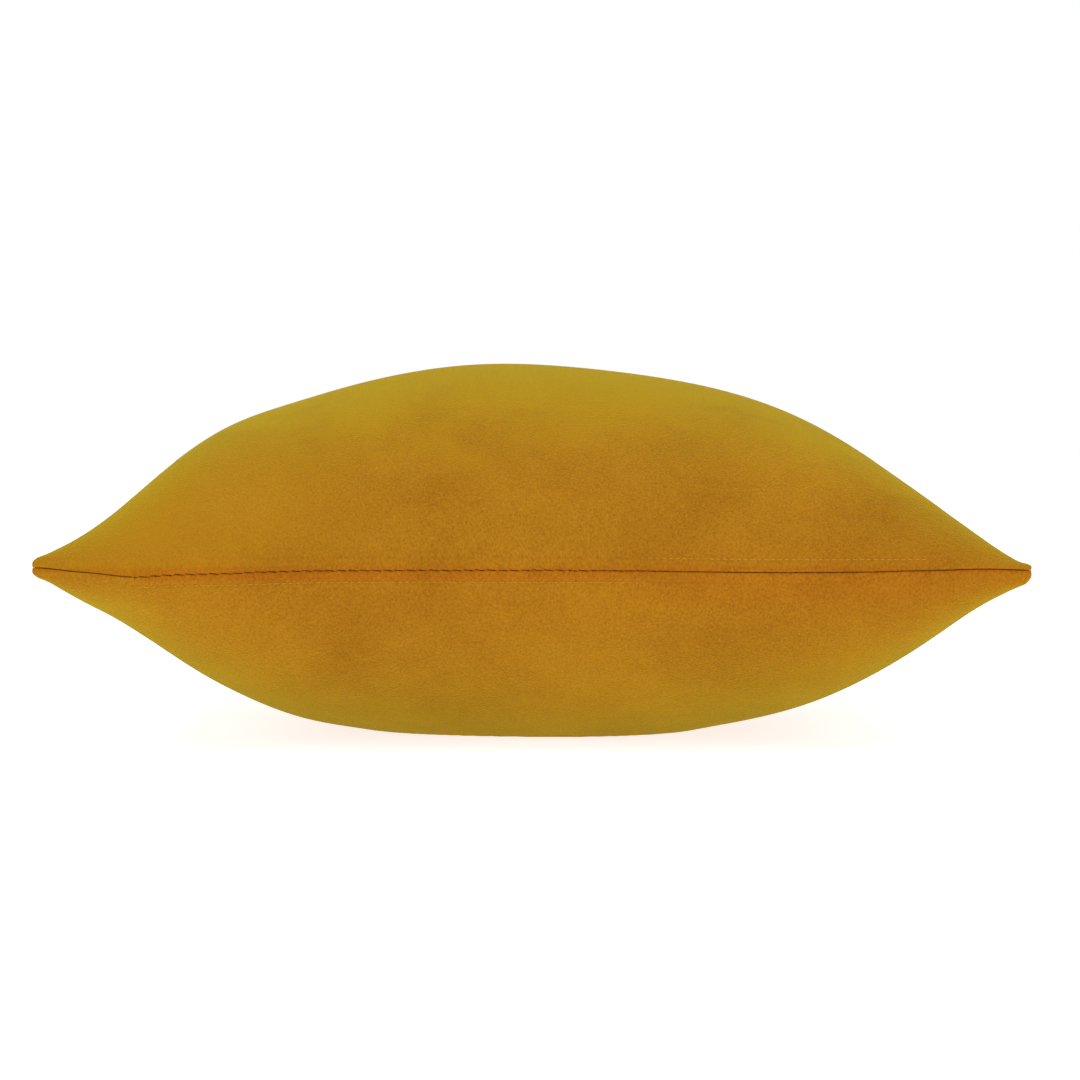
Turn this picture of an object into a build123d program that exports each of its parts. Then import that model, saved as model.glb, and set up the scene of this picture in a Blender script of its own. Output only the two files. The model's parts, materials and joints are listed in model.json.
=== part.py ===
from build123d import *

import os
from math import asin, atan, degrees, radians, sin, sqrt, tan

# Square velvet throw pillow: a zipped cover over a filled inner pad, lying on its lower face.
#
# Millimetres. +Z is up. The zip is in the front edge, which faces -Y. The origin is on the surface
# that the pillow rests on, under its middle. Everything is drawn about the seam level and raised at
# the end.
#
# The cover is two velvet panels sewn face to face and turned out, so that the raw edges lie inside
# as a seam allowance. Filling it draws the middle of each edge in, which makes the edges arcs. The
# front edge is left open for the zip: there the two panels are folded back on themselves into lips,
# which meet over the coil and hide it. The lips, the tapes, the coil and the slider's path are all
# rings about the front arc's centre, so the slider runs along the curved edge by turning about it.

# Cover, as it is when filled
TIP_SPAN = 440.0  # between the points where neighbouring edges would meet, before rounding
EDGE_PULL = 24.0  # how far filling draws the middle of an edge in from the line between its tips
CROWN = 91.0  # top of the pillow above the seam
SEAM_HEIGHT = 84.0  # seam above the surface that the pillow rests on
BELLY = 89.0  # depth that the underside would have if nothing flattened it
SHOULDER = 2.3  # higher is fuller towards the edges
RIM_REACH = 1.5  # the two faces would meet in a knife edge this far outside the blunt rim
TIP_RADIUS = 4.0
VELVET = 1.6
ALLOWANCE = 8.0  # seam allowance turned inside
ALLOWANCE_THICKNESS = 1.3
SEAM_ROW = 2.6  # from the rim to the row of stitches
THREAD = 0.5
OVERLOCK_BITE = 2.6
OVERLOCK_THREAD = 0.35

# Inner pad
PAD_GAP = 0.4  # between the pad and the velvet, at the crown
PAD_SHOULDER = 2.4
PAD_CLEAR_OF_SEAM = 1.8  # between the pad's edge and what lies deepest behind the rim
CASE = 0.6
CASE_THREAD = 0.5
CASE_OPENING = 120.0  # gap in the pad's back seam that is sewn up after it is filled

# Zip, a nylon coil of the 3 mm class
ZIP_HALF = 175.0  # half the length of the opening between the lips
LIP_FOLD = 2.4  # two layers of velvet, pressed by the stitching
LIP_HEIGHT = 5.2  # from the slit to the row of stitches that holds the tape
SLIT = 0.6
TURNING = 5.8  # how much of the turned edge lies above the stitches
TURNING_THICKNESS = 1.0
COIL_WIDTH = 2.05  # one half of the chain
COIL_DEPTH = 1.5
COIL_GAP = 0.1
CORD = 0.66
TAPE = 0.4
TAPE_EDGE = 1.0  # from the zip's middle to the edge of each tape
TAPE_FLAT = 3.6  # from the zip's middle to the fold in each tape
TAPE_TAIL = 10.0  # how far the tapes run on past the opening
STOP_WIDTH = 1.7
STOP_GAP = 0.8

# Slider and pull tab
SLIDER_LENGTH = 9.0
SLIDER_PLATE = 0.8
SLIDER_FLANGE = 0.9
SLIDER_PARK = 9.0  # from the end of the opening to the slider's middle when the zip is shut
RUN = 0.2  # running clearance around the coil, the tapes and the tab
LIP_CLEAR = 0.4  # between the lips and the crown
CROWN_STRAP = 0.7
CROWN_LENGTH = 5.2
CROWN_WIDTH = 2.0
TAB_THICKNESS = 0.7
TAB_WIDTH = 4.4
TAB_LENGTH = 12.5
TAB_PIN = 0.8
TACK_WIDTH = 1.6
TACK_SINK = 0.3

GRID = 26  # spans in each direction of a domed face
DEEP = 200.0  # anything larger than the pillow is tall

HALF = TIP_SPAN / 2
EDGE_MIDDLE = HALF - EDGE_PULL
EDGE_RADIUS = (HALF**2 + EDGE_PULL**2) / (2 * EDGE_PULL)
ARC_CENTRE = EDGE_MIDDLE + EDGE_RADIUS
FRONT_AXIS = Axis((0, -ARC_CENTRE, 0), (0, 0, -1))
FRONT_PLANE = Plane(origin=(0, -EDGE_MIDDLE, 0), x_dir=(0, 1, 0), z_dir=(1, 0, 0))

# Levels across the zip, as distances in from the rim
CROWN_FACE = LIP_FOLD + LIP_CLEAR
TAB_LEVEL = CROWN_FACE + CROWN_STRAP + RUN + TAB_THICKNESS / 2
PLATE_FACE = TAB_LEVEL + TAB_THICKNESS / 2 + RUN
CHANNEL_FACE = PLATE_FACE + SLIDER_PLATE
COIL_FACE = CHANNEL_FACE + RUN
TAPE_LEVEL = COIL_FACE + COIL_DEPTH + TAPE / 2
BACK_PLATE_FACE = TAPE_LEVEL + TAPE / 2 + RUN
SLIDER_BACK = BACK_PLATE_FACE + SLIDER_PLATE
PAD_INSET = max(ALLOWANCE + OVERLOCK_THREAD, SLIDER_BACK) + PAD_CLEAR_OF_SEAM
CHAIN_HALF = COIL_GAP / 2 + COIL_WIDTH
SLIDER_HALF = CHAIN_HALF + RUN + SLIDER_FLANGE

SLIDER_START = -(ZIP_HALF - SLIDER_PARK)
SLIDER_END = ZIP_HALF - TAB_LENGTH - LIP_CLEAR - TAB_PIN
POST_LENGTH = 1.8
POST_SETBACK = 1.0  # from the slider's end to the post
COIL_START = SLIDER_START - SLIDER_LENGTH / 2 + POST_SETBACK + POST_LENGTH + RUN
COIL_END = SLIDER_END + SLIDER_LENGTH / 2 + STOP_GAP
TOP_STOP = SLIDER_START - SLIDER_LENGTH / 2 - STOP_GAP - STOP_WIDTH
BOTTOM_STOP = COIL_END + COIL_GAP


def edge_reach(along, inset):
    """How far an edge drawn in by inset is from the middle, at a distance along it."""
    return ARC_CENTRE - sqrt((EDGE_RADIUS + inset) ** 2 - along**2)


def tip_reach(inset):
    """Half the tip span of an outline drawn in by inset, where two neighbouring arcs cross."""
    spare = ARC_CENTRE**2 - (EDGE_RADIUS + inset) ** 2
    return (ARC_CENTRE - sqrt(ARC_CENTRE**2 - 2 * spare)) / 2


def outline(inset):
    """The cover's plan drawn in by inset: four arcs, with rounded tips."""
    tip, middle = tip_reach(inset), edge_reach(0, inset)
    corners = [(tip, -tip), (tip, tip), (-tip, tip), (-tip, -tip)]
    middles = [(middle, 0), (0, middle), (-middle, 0), (0, -middle)]
    ends = corners[1:] + corners[:1]
    plan = make_face([ThreePointArc(*trio) for trio in zip(corners, middles, ends)])
    return fillet(plan.vertices(), TIP_RADIUS)


def prism(inset, low, high):
    """The plan drawn in by inset, from one level to another."""
    return Pos(0, 0, low) * extrude(outline(inset), high - low)


def rise(u, v, shoulder):
    """A domed face's height as a share of its crown: the harmonic mean of one profile each way."""
    across, along = 1 - abs(u) ** shoulder, 1 - abs(v) ** shoulder
    return 2 * across * along / (across + along) if across + along > 0 else 0.0


def dome(inset, crown, shoulder, side):
    """The solid between the seam level and a domed face, which meet in a knife edge at inset."""
    steps = [sin(radians(90 * (2 * i / GRID - 1))) for i in range(GRID + 1)]
    tip = tip_reach(inset)
    points = [
        [
            (
                u * edge_reach(v * tip, inset),
                v * edge_reach(u * tip, inset),
                side * crown * rise(u, v, shoulder),
            )
            for u in steps
        ]
        for v in steps
    ]
    skin = Face.make_surface_from_array_of_points(points, tol=0.005)
    level = Face(Wire(skin.edges()))
    return Solid(Shell([skin, level]))


def half_pillow(side, inset, depth, shoulder):
    """Half of a pillow shape, above or below the seam.

    inset draws its plan in from the cover's rim, and depth lowers its crown and its rest face."""
    crown = (CROWN if side > 0 else BELLY) - depth
    slope = atan(2 * crown * shoulder / HALF)
    body = dome(inset / sin(slope) - RIM_REACH, crown, shoulder, side)
    low, high = (0, DEEP) if side > 0 else (-(SEAM_HEIGHT - depth), 0)
    return body & prism(inset, low, high)


def along_front(section, start, end):
    """A ring about the front arc's centre, from one distance along the edge to another."""
    first, last = (degrees(asin(x / EDGE_RADIUS)) for x in (start, end))
    placed = (FRONT_PLANE * section).rotate(FRONT_AXIS, first)
    return revolve(placed, FRONT_AXIS, last - first)


def section_of(points, side):
    """A closed outline of (inset, height) points, mirrored for the lower half."""
    return make_face(Polyline([(s, side * h) for s, h in points], close=True))


def rim_line(height, along=0.0):
    """How far in from the rim the outer face is, at a height above the seam."""
    other = 1 - (along / tip_reach(-RIM_REACH)) ** SHOULDER
    share = height / (2 * CROWN)
    own = share * other / (other - share)
    reach = edge_reach(along, -RIM_REACH)
    return max(0.0, reach * (1 - (1 - own) ** (1 / SHOULDER)) - RIM_REACH)


def fold_line(height, layers, along=0.0):
    """How far in from the rim the inside of layers of cloth is, at a height above the seam."""
    slope = atan(2 * CROWN * SHOULDER / HALF)
    return max(layers, rim_line(height, along) + layers / sin(slope))


def row(level, height, thickness, start, end):
    """A thread of round section, laid along the front edge."""
    return along_front(Pos(level, height) * Circle(thickness / 2), start, end)


def zip_lip(side, outer):
    """A panel's turned edge between the slit and the stitches: the fold that hides the coil."""
    knee = (LIP_FOLD + RIM_REACH) * tan(radians(30))
    behind = [
        (LIP_FOLD, SLIT / 2),
        (LIP_FOLD, knee),
        (fold_line(LIP_HEIGHT, LIP_FOLD), LIP_HEIGHT),
    ]
    front = [(-RIM_REACH, LIP_HEIGHT), (-RIM_REACH, SLIT / 2)]
    return outer & along_front(section_of(behind + front, side), -ZIP_HALF, ZIP_HALF)


def zip_turning(side):
    """The rest of the turned edge, which lies against the panel's inside above the stitches."""
    top = LIP_HEIGHT + TURNING
    points = [
        (fold_line(LIP_HEIGHT, VELVET) - VELVET / 2, LIP_HEIGHT),
        (fold_line(LIP_HEIGHT, LIP_FOLD), LIP_HEIGHT),
        (fold_line(top, VELVET + TURNING_THICKNESS), top),
        (fold_line(top, VELVET) - VELVET / 2, top),
    ]
    return along_front(section_of(points, side), -ZIP_HALF, ZIP_HALF)


def zip_mouth(side):
    """What is taken out of a panel for its lip, behind the lip as far as the turned edge."""
    points = [
        (-RIM_REACH - VELVET, 0),
        (ALLOWANCE, 0),
        (ALLOWANCE, LIP_HEIGHT),
        (-RIM_REACH - VELVET, LIP_HEIGHT),
    ]
    return along_front(section_of(points, side), -ZIP_HALF, ZIP_HALF)


def tape_room(level):
    """The space behind a level that is kept free for the zip and the tails of its tapes."""
    space = Pos(level + PAD_INSET / 2, 0) * Rectangle(PAD_INSET, PAD_INSET)
    end = ZIP_HALF + 1.5 * TAPE_TAIL
    return along_front(space, -end, end)


def seam_allowance(side):
    """The panel's raw edge, turned inside along the seam and kept clear of the zip."""
    low, high = sorted((0, side * ALLOWANCE_THICKNESS))
    strip = prism(VELVET / 2, low, high) - prism(ALLOWANCE, -DEEP, DEEP)
    return strip - tape_room(COIL_FACE)


def panel(side, outer, cuts):
    """One velvet panel of the cover, with its turned edges."""
    inner = half_pillow(side, VELVET, VELVET, SHOULDER)
    cloth = (outer - inner) + (seam_allowance(side) & outer)
    cloth = cloth - zip_mouth(side)
    cloth = cloth + zip_turning(side)
    for cut in cuts:
        cloth = cloth - cut
    return cloth


def seam_ring(inset, thickness):
    """A thread of round section at the seam level, all the way round the plan drawn in by inset."""
    start = Pos(-edge_reach(0, inset), 0, 0) * Rot(90, 0, 0) * Circle(thickness / 2)
    return sweep(start, path=outline(inset).wires()[0])


def seam_thread():
    """The row of lockstitch round the cover, which ends at each end of the zip's opening."""
    opening = along_front(Rectangle(4 * SEAM_ROW, 2 * THREAD), -ZIP_HALF, ZIP_HALF)
    return seam_ring(SEAM_ROW, THREAD) - opening


def overlock_thread():
    """The thread wrapped round both raw edges, drawn as the sleeve that it makes."""
    outside = ALLOWANCE_THICKNESS + OVERLOCK_THREAD
    wrap = prism(ALLOWANCE - OVERLOCK_BITE, -outside, outside)
    wrap = wrap - prism(ALLOWANCE + OVERLOCK_THREAD, -DEEP, DEEP)
    edges = prism(0, -ALLOWANCE_THICKNESS, ALLOWANCE_THICKNESS)
    wrap = wrap - (edges - prism(ALLOWANCE, -DEEP, DEEP))
    return wrap - tape_room(0)


def zip_tape(side):
    """A tape: flat beside the coil, then folded forward to the stitches and along the turned edge."""
    top, end = LIP_HEIGHT + TURNING - TAPE, ZIP_HALF + TAPE_TAIL
    bend = (fold_line(LIP_HEIGHT, LIP_FOLD, end) + TAPE, LIP_HEIGHT - TAPE / 2)
    tail = (fold_line(top, VELVET + TURNING_THICKNESS, end) + TAPE, top)
    spine = [(TAPE_LEVEL, TAPE_EDGE), (TAPE_LEVEL, TAPE_FLAT), bend, tail]
    strip = trace(Polyline([(s, side * h) for s, h in spine]), line_width=TAPE)
    return along_front(strip, -end, end)


def zip_coil(side):
    """Half of the coil as the envelope of its turns, hollow for its cord."""
    middle = (COIL_FACE + COIL_DEPTH / 2, side * (COIL_GAP + COIL_WIDTH) / 2)
    turn = Pos(*middle) * RectangleRounded(COIL_DEPTH, COIL_WIDTH, COIL_DEPTH / 3)
    turn = turn - Pos(*middle) * Circle(CORD / 2 + COIL_GAP / 4)
    return along_front(turn, COIL_START, COIL_END)


def zip_cord(side):
    """The cord that runs through half of the coil."""
    level = COIL_FACE + COIL_DEPTH / 2
    return row(level, side * (COIL_GAP + COIL_WIDTH) / 2, CORD, COIL_START, COIL_END)


def zip_stop(start, low, high):
    """A staple over the front and back of the tapes between two heights."""
    depth = COIL_DEPTH + TAPE + RUN
    level = COIL_FACE + depth / 2
    block = Pos(level, (low + high) / 2) * Rectangle(depth, high - low)
    return along_front(block, start, start + STOP_WIDTH)


def brick(ends, levels, half_height):
    """A block beside the zip's middle, along X, in from the rim, and to each side of the seam."""
    size = (ends[1] - ends[0], levels[1] - levels[0], 2 * half_height)
    middle = ((ends[0] + ends[1]) / 2, sum(levels) / 2 - EDGE_MIDDLE, 0)
    return Pos(*middle) * Box(*size)


def slider():
    """Slider body: two plates, the flanges that hold the coil, the post between, and the crown."""
    half = SLIDER_LENGTH / 2
    front = brick((-half, half), (PLATE_FACE, CHANNEL_FACE), SLIDER_HALF)
    back = brick((-half, half), (BACK_PLATE_FACE, SLIDER_BACK), SLIDER_HALF)
    front, back = (
        fillet(p.edges().filter_by(Axis.Y), 2 * SLIDER_PLATE) for p in (front, back)
    )
    jaws = (-half + 2 * POST_LENGTH, half - SLIDER_PLATE)
    slot = TAPE_LEVEL - TAPE / 2 - RUN
    flanges = brick(jaws, (CHANNEL_FACE, slot), SLIDER_HALF)
    flanges = flanges - brick(
        (-half, half), (CHANNEL_FACE, slot), SLIDER_HALF - SLIDER_FLANGE
    )
    post_ends = (-half + POST_SETBACK, -half + POST_SETBACK + POST_LENGTH)
    post = brick(post_ends, (CHANNEL_FACE, BACK_PLATE_FACE), TAPE_EDGE - RUN)
    reach = CROWN_LENGTH / 2
    arch = brick((-reach, reach), (CROWN_FACE, PLATE_FACE), CROWN_WIDTH / 2)
    arch = fillet(arch.edges().filter_by(Axis.Z).sort_by(Axis.Y)[:2], CROWN_STRAP)
    foot = reach - CROWN_STRAP
    arch = arch - brick((-foot, foot), (CROWN_FACE + CROWN_STRAP, PLATE_FACE), DEEP)
    return front + back + flanges + post + arch


def pull_tab():
    """Pull tab, lying along the coil with its pin through the slider's crown."""
    levels = (TAB_LEVEL - TAB_THICKNESS / 2, TAB_LEVEL + TAB_THICKNESS / 2)
    plate = brick((0, TAB_LENGTH), levels, TAB_WIDTH / 2)
    end = plate.edges().filter_by(Axis.Y).sort_by(Axis.X)[-2:]
    plate = fillet(end, TAB_WIDTH / 3)
    eye = (-TAB_PIN, CROWN_LENGTH / 2 + CROWN_STRAP)
    plate = plate - brick(eye, levels, CROWN_WIDTH / 2 + RUN)
    grip_hole = Rot(90, 0, 0) * Cylinder(TAB_WIDTH / 5, 2 * TAB_THICKNESS)
    level = TAB_LEVEL - EDGE_MIDDLE
    plate = plate - Pos(TAB_LENGTH - TAB_WIDTH / 2, level, 0) * grip_hole
    return plate + Pos(0, level, 0) * Cylinder(TAB_PIN / 2, TAB_WIDTH)


def bar_tack(end):
    """The tight block of stitches that closes one end of the opening, half sunk in the velvet."""
    reach = LIP_HEIGHT / 2
    block = Rectangle(2 * TACK_SINK, 2 * reach)
    start, stop = sorted((end * ZIP_HALF, end * (ZIP_HALF + TACK_WIDTH)))
    return along_front(block, start, stop)


def at_slider(piece):
    """Carries a piece from the middle of the zip to where the slider is parked."""
    return piece.rotate(FRONT_AXIS, degrees(asin(SLIDER_START / EDGE_RADIUS)))


def build():
    """Every piece of the pillow by name, about the seam level."""
    pieces = {}
    stitch_level = rim_line(LIP_HEIGHT)
    tacks = {"left": bar_tack(-1), "right": bar_tack(1)}
    cover_thread = seam_thread()
    tapes = {1: zip_tape(1), -1: zip_tape(-1)}
    for side, name, place in ((1, "upper", "top"), (-1, "lower", "bottom")):
        outer = half_pillow(side, 0, 0, SHOULDER)
        stitches = row(stitch_level, side * LIP_HEIGHT, THREAD, -ZIP_HALF, ZIP_HALF)
        lip = zip_lip(side, outer) - stitches
        cuts = [cover_thread, stitches, *tacks.values()]
        pieces[f"cover_{place}_panel"] = panel(side, outer, cuts)
        pieces[f"zip_lip_{name}"] = lip
        pieces[f"zip_stitching_{name}"] = stitches
        pieces[f"zip_tape_{name}"] = tapes[side]
        pieces[f"zip_coil_{name}"] = zip_coil(side)
        pieces[f"zip_cord_{name}"] = zip_cord(side)

    pieces["cover_seam_thread"] = cover_thread
    pieces["cover_overlock_thread"] = overlock_thread()
    for name, tack in tacks.items():
        pieces[f"zip_bar_tack_{name}"] = tack

    stops = [
        zip_stop(TOP_STOP, TAPE_EDGE - RUN, CHAIN_HALF) - tapes[1],
        zip_stop(TOP_STOP, -CHAIN_HALF, RUN - TAPE_EDGE) - tapes[-1],
    ]
    pieces["zip_top_stops"] = Compound(children=stops)
    both = zip_stop(BOTTOM_STOP, -CHAIN_HALF, CHAIN_HALF)
    pieces["zip_bottom_stop"] = both - tapes[1] - tapes[-1]
    pieces["zip_slider"] = at_slider(slider())
    pieces["zip_pull_tab"] = at_slider(pull_tab())

    ring = seam_ring(PAD_INSET, CASE_THREAD)
    gap = Pos(PAD_INSET, 0) * Rectangle(2 * CASE_THREAD, 2 * CASE_THREAD)
    gap = along_front(gap, -CASE_OPENING / 2, CASE_OPENING / 2)
    closing = row(PAD_INSET, 0, CASE_THREAD, -CASE_OPENING / 2, CASE_OPENING / 2)
    pieces["pad_seam_thread"] = ring - gap.rotate(Axis.Z, 180)
    pieces["pad_closing_thread"] = closing.rotate(Axis.Z, 180)
    fills = []
    for side, place in ((1, "top"), (-1, "bottom")):
        depth = VELVET + PAD_GAP
        outer = half_pillow(side, PAD_INSET, depth, PAD_SHOULDER)
        fill = half_pillow(side, PAD_INSET + CASE, depth + CASE, PAD_SHOULDER)
        pieces[f"pad_case_{place}"] = outer - fill - ring
        fills.append(fill)
    pieces["pad_filling"] = fills[0] + fills[1]
    return pieces


os.makedirs("parts", exist_ok=True)
for node, shape in build().items():
    export_step(Pos(0, 0, SEAM_HEIGHT) * shape, f"parts/{node}.step")
    print(node, round(shape.volume, 1))

turn = [degrees(asin(x / EDGE_RADIUS)) for x in (SLIDER_START, SLIDER_END)]
print("slider's travel:", round(turn[0], 3), "to", round(turn[1], 3), "degrees from the middle")
print("front arc: radius", round(EDGE_RADIUS, 3), "about Y", round(-ARC_CENTRE, 3))
print("tab's pivot:", round(TAB_LEVEL, 3), "in from the rim")
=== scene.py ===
# %% [markdown]
# # A velvet throw pillow with a hidden zip
#
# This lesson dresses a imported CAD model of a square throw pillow. The CAD holds every piece at its
# true size: two velvet panels, the zip in the front edge, the threads, and the inner pad. Here the
# soft pieces are made again as cloth, and the rest get real finishes. We load the frame first,
# because every place below is read from it. All lengths are in metres, and +Z is up.

import json
import math

import bmesh
import bpy
from mathutils import Matrix, Vector, noise


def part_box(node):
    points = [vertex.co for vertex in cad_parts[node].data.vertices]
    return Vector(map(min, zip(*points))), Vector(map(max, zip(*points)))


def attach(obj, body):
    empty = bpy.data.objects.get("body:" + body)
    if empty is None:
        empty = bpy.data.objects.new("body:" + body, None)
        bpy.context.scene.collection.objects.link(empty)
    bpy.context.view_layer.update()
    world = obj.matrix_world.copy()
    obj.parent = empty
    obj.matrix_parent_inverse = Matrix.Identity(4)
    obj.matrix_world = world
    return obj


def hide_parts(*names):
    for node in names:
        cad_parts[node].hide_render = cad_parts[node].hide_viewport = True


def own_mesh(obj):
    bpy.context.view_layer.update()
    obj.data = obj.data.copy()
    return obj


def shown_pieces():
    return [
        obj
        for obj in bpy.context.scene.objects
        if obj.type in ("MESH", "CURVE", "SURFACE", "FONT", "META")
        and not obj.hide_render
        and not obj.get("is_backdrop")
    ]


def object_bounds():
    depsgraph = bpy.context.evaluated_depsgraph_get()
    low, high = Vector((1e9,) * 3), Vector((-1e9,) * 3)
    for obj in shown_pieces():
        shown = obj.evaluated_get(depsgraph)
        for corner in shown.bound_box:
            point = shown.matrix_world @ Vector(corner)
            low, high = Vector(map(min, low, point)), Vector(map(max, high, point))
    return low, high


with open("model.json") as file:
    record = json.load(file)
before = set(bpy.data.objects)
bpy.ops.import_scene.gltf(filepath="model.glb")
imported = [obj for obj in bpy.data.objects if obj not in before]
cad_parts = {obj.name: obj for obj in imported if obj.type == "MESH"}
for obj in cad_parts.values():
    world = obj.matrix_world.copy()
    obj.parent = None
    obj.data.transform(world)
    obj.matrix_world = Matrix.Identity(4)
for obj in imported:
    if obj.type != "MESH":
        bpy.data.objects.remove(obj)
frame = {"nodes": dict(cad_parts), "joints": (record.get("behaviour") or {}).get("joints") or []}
cad_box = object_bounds()
mm = 0.001
print("CAD pieces:", len(frame["nodes"]))

# %% [markdown]
# ## Where things are
#
# Filling a square cover draws the middle of each edge in, so each edge is an arc between two tips.
# The zip's slider turns about the middle of the front arc, which is why its joint tells us the
# arc's centre. The seam thread lies at the seam level. From these and the tip span we can place
# anything along the zip by three numbers: how far along the edge, how far in from the rim, and how
# high above the seam.

# %% The front arc and the seam
joints = {j["name"]: j for j in frame["joints"]}
arc_y = joints["slider_travel"]["pos_m"][1]
low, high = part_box("cover_seam_thread")
seam = (low.z + high.z) / 2
edge_pull = 24 * mm  # how far the middle of each edge is drawn in
half_tips = 220 * mm  # where two edges would meet, before their tip is rounded
radius = -arc_y - (half_tips - edge_pull)
zip_half = 175 * mm
stitch_height = 5.2 * mm  # from the slit to the row that holds the tape


def edge_reach(along, inset=0.0):
    """How far an edge drawn in by inset is from the middle, at a distance along it."""
    return -arc_y - math.sqrt((radius + inset) ** 2 - along**2)


def on_front(along, inset, height):
    """A place by the zip: along the edge, in from the rim, and above the seam."""
    turn = math.asin(along / radius)
    reach = radius + inset
    return Vector(
        (math.sin(turn) * reach, arc_y + math.cos(turn) * reach, seam + height)
    )


print("seam height", seam, "front arc radius", round(radius, 4))

# %% [markdown]
# ## Camera, light and floor
#
# The pillow is seen edge on, from just above the level of its seam, through a long lens. A long
# lens a couple of metres away keeps the near tips from looming. Velvet needs large soft lights: a
# small lamp would make its pile sparkle. So a pale room lights it from all sides, with one big
# panel above and in front to shape the crown. The colours are shown with the plain display
# transform, so that a colour chosen as a hex value comes out as that colour.


# %% Colours and nodes
def linear(code, alpha=1.0):
    """A hex colour as the linear values that shaders use."""
    parts = [int(code[i : i + 2], 16) / 255 for i in (1, 3, 5)]
    curve = [c / 12.92 if c <= 0.04045 else ((c + 0.055) / 1.055) ** 2.4 for c in parts]
    return (*curve, alpha)


def add(tree, kind, settings=None, links=None):
    """Adds a node, sets its options and sockets, and links other nodes' outputs to its inputs."""
    node = tree.nodes.new(kind)
    for key, value in (settings or {}).items():
        if isinstance(key, str) and hasattr(node, key):
            setattr(node, key, value)
        else:
            node.inputs[key].default_value = value
    for key, source in (links or {}).items():
        tree.links.new(source, node.inputs[key])
    return node


def new_material(name):
    """An empty material, and its node tree."""
    material = bpy.data.materials.new(name)
    material.use_nodes = True
    material.node_tree.nodes.clear()
    return material, material.node_tree


# %% The camera
near = Vector((0, -cad_box[1].x, seam))
elevation = math.radians(2.6)
distance = 2.0
camera = bpy.data.objects.new("camera", bpy.data.cameras.new("camera"))
bpy.context.scene.collection.objects.link(camera)
back = Vector((0, -math.cos(elevation), math.sin(elevation)))
camera.location = near + back * distance
camera.rotation_mode = "QUATERNION"
camera.rotation_quaternion = (-back).to_track_quat("-Z", "Y")
sensor = 36  # millimetres
camera.data.sensor_width = sensor
tip_share = 998 / 1080  # how much of the view's width the pillow fills
camera.data.lens = sensor * tip_share * distance / (2 * cad_box[1].x)
camera.data.shift_x = 0.0075
camera.data.shift_y = 0.0285
camera.data.clip_start, camera.data.clip_end = 0.05, 30
bpy.context.scene.camera = camera
print("lens", round(camera.data.lens, 1), "mm")

# %% Lights and floor
bpy.context.scene.view_settings.view_transform = "Standard"
world = bpy.data.worlds.new("pale_room")
bpy.context.scene.world = world
world.use_nodes = True
world.node_tree.nodes.clear()
sky = add(
    world.node_tree,
    "ShaderNodeBackground",
    {"Color": linear("#ffffff"), "Strength": 1.0},
)
add(world.node_tree, "ShaderNodeOutputWorld", links={"Surface": sky.outputs[0]})


def soft_panel(name, place, aim, size, power):
    """A square light panel at a place, facing another."""
    light = bpy.data.lights.new(name, "AREA")
    light.size, light.energy = size, power
    panel = bpy.data.objects.new(name, light)
    bpy.context.scene.collection.objects.link(panel)
    panel.location = place
    panel.rotation_mode = "QUATERNION"
    panel.rotation_quaternion = (Vector(aim) - Vector(place)).to_track_quat("-Z", "Y")


soft_panel("top_panel", (0.0, -0.3, 2.2), (0, 0, 0.1), 2.4, 14)
soft_panel("front_panel", (-0.2, -2.2, 0.25), (0, 0, 0.08), 1.4, 3)

bm = bmesh.new()
bmesh.ops.create_grid(bm, x_segments=1, y_segments=1, size=6)
floor_mesh = bpy.data.meshes.new("floor")
bm.to_mesh(floor_mesh)
bm.free()
floor = bpy.data.objects.new("floor", floor_mesh)
bpy.context.scene.collection.objects.link(floor)
floor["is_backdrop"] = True
pale, tree = new_material("pale_floor")
coat = add(
    tree,
    "ShaderNodeBsdfPrincipled",
    {
        "Base Color": linear("#c8c7c4"),
        "Roughness": 0.9,
        "Specular IOR Level": 0.1,
        "Emission Color": linear("#ffffff"),
        "Emission Strength": 0.77,
    },
)
add(tree, "ShaderNodeOutputMaterial", links={"Surface": coat.outputs[0]})
floor_mesh.materials.append(pale)

# %% [markdown]
# ## The filled shape
#
# A panel is cut flat and square. Sewn to its twin and filled, it becomes a crowned form that is
# steep at the rim, full in the middle, and thin at the tips. We start it as a smooth dome, with
# its rows spaced as they are on the flat cloth, so that the simulation starts near its answer.
# One profile across and one along are joined by their harmonic mean, which gives all four edges
# the same steepness and the tips almost none.

# %% The dome
crown = cad_box[1].z - seam
shoulder = 2.3  # above 2, the dome is fuller than a parabola
knife = -1.5 * mm  # where the two faces would meet, just outside the rim
rim_height = 1.9 * mm
outermost = 0.9999  # rows and columns past this share are the sewn edge


def tip_reach(inset):
    """Half the span between the tips of an outline drawn in by inset."""
    spare = arc_y**2 - (radius + inset) ** 2
    return (-arc_y - math.sqrt(arc_y**2 - 2 * spare)) / 2


def rise(u, v):
    """A dome's height as a share of its crown."""
    across, along = 1 - abs(u) ** shoulder, 1 - abs(v) ** shoulder
    return 2 * across * along / (across + along) if across + along > 0 else 0.0


def row_spread(steps=600):
    """Pairs of (share of the cloth, share of the plan) along the middle of a panel."""
    pairs, length, before = [(0.0, 0.0)], 0.0, (0.0, crown)
    for i in range(1, steps + 1):
        u = i / steps
        here = (u * edge_reach(0, knife), crown * rise(u, 0))
        if here[1] < rim_height:
            break
        length += math.dist(before, here)
        pairs.append((length, u))
        before = here
    return [(a / length, u) for a, u in pairs]


spread = row_spread()


def plan_share(share):
    """Where a row of the flat cloth lies across the plan, from -1 to 1."""
    size = min(abs(share), 1.0)
    for (a, u), (b, w) in zip(spread, spread[1:]):
        if size <= b:
            return math.copysign(u + (w - u) * (size - a) / (b - a), share)
    return math.copysign(spread[-1][1], share)


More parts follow.
